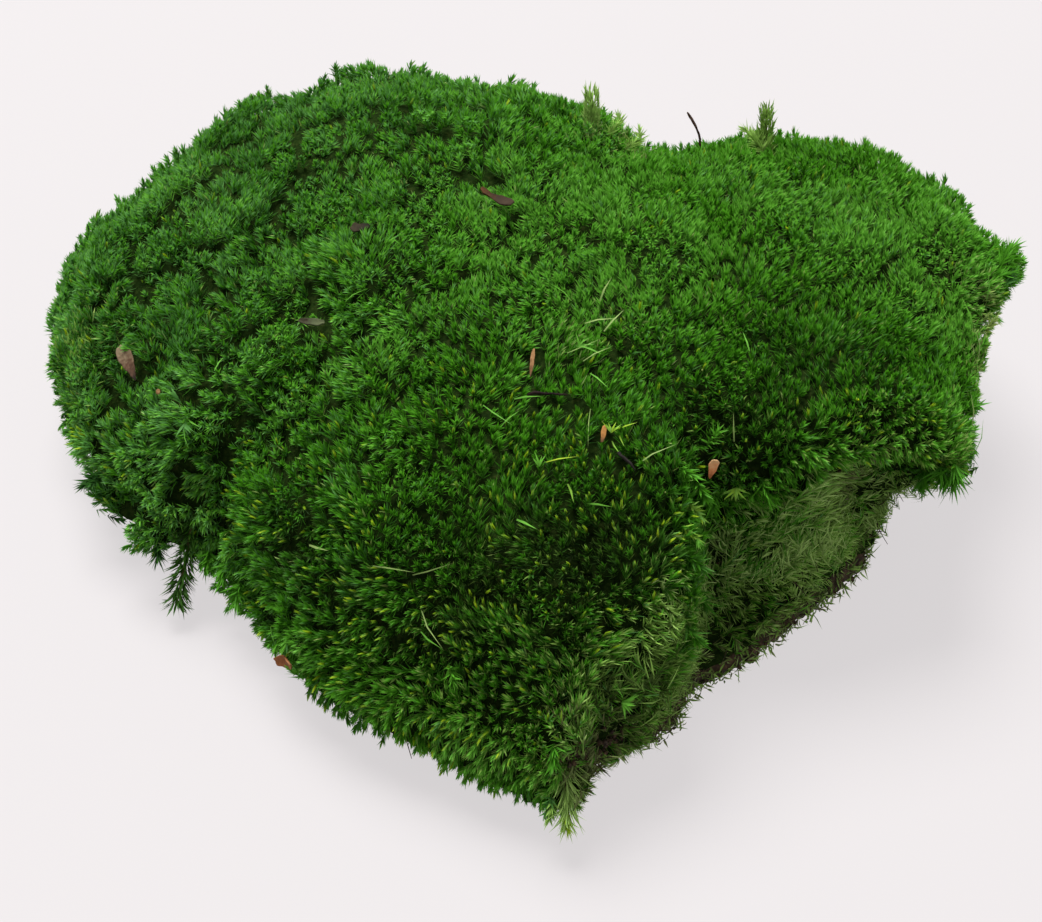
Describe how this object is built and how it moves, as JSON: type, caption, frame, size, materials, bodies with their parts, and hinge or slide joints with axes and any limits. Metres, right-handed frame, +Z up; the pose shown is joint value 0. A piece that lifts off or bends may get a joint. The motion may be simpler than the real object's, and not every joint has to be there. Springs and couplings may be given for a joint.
{
  "type": "clump of cushion moss",
  "caption": "Heart-shaped clump of green cushion moss on its mat of dark humus, torn along one side, with scraps of dead leaf, bark and twig caught among its shoots.",
  "frame": {"origin": "centre of the whole's box in plan, on the surface that the clump rests on", "axes": "+Z up; +X across the two lobes, to the right as the picture shows the clump; -Y towards the clump's pointed front tip"},
  "size_m": [0.197, 0.1888, 0.0658],
  "materials": {
    "moss": "dense soft green shoots with narrow satin leaves, paler at the tips",
    "humus": "matte, crumbly and fibrous",
    "dead_leaf": "matte, dry and curled",
    "bark": "matte, dry",
    "twig": "matte, rough"
  },
  "bodies": {
    "root": {"moss_cushion": "moss", "humus_mat": "humus", "bark_flake_front": "bark", "bark_flake_top": "dead_leaf", "bark_speck_left": "bark", "bud_scale_front": "bark", "husk_left": "dead_leaf", "leaf_scrap_back": "dead_leaf", "leaf_scrap_centre": "dead_leaf", "leaf_scrap_left": "dead_leaf", "needle_centre": "dead_leaf", "seed_stalk_back": "twig", "twig_bit_centre": "twig", "twig_centre": "twig"}
  },
  "joints": []
}
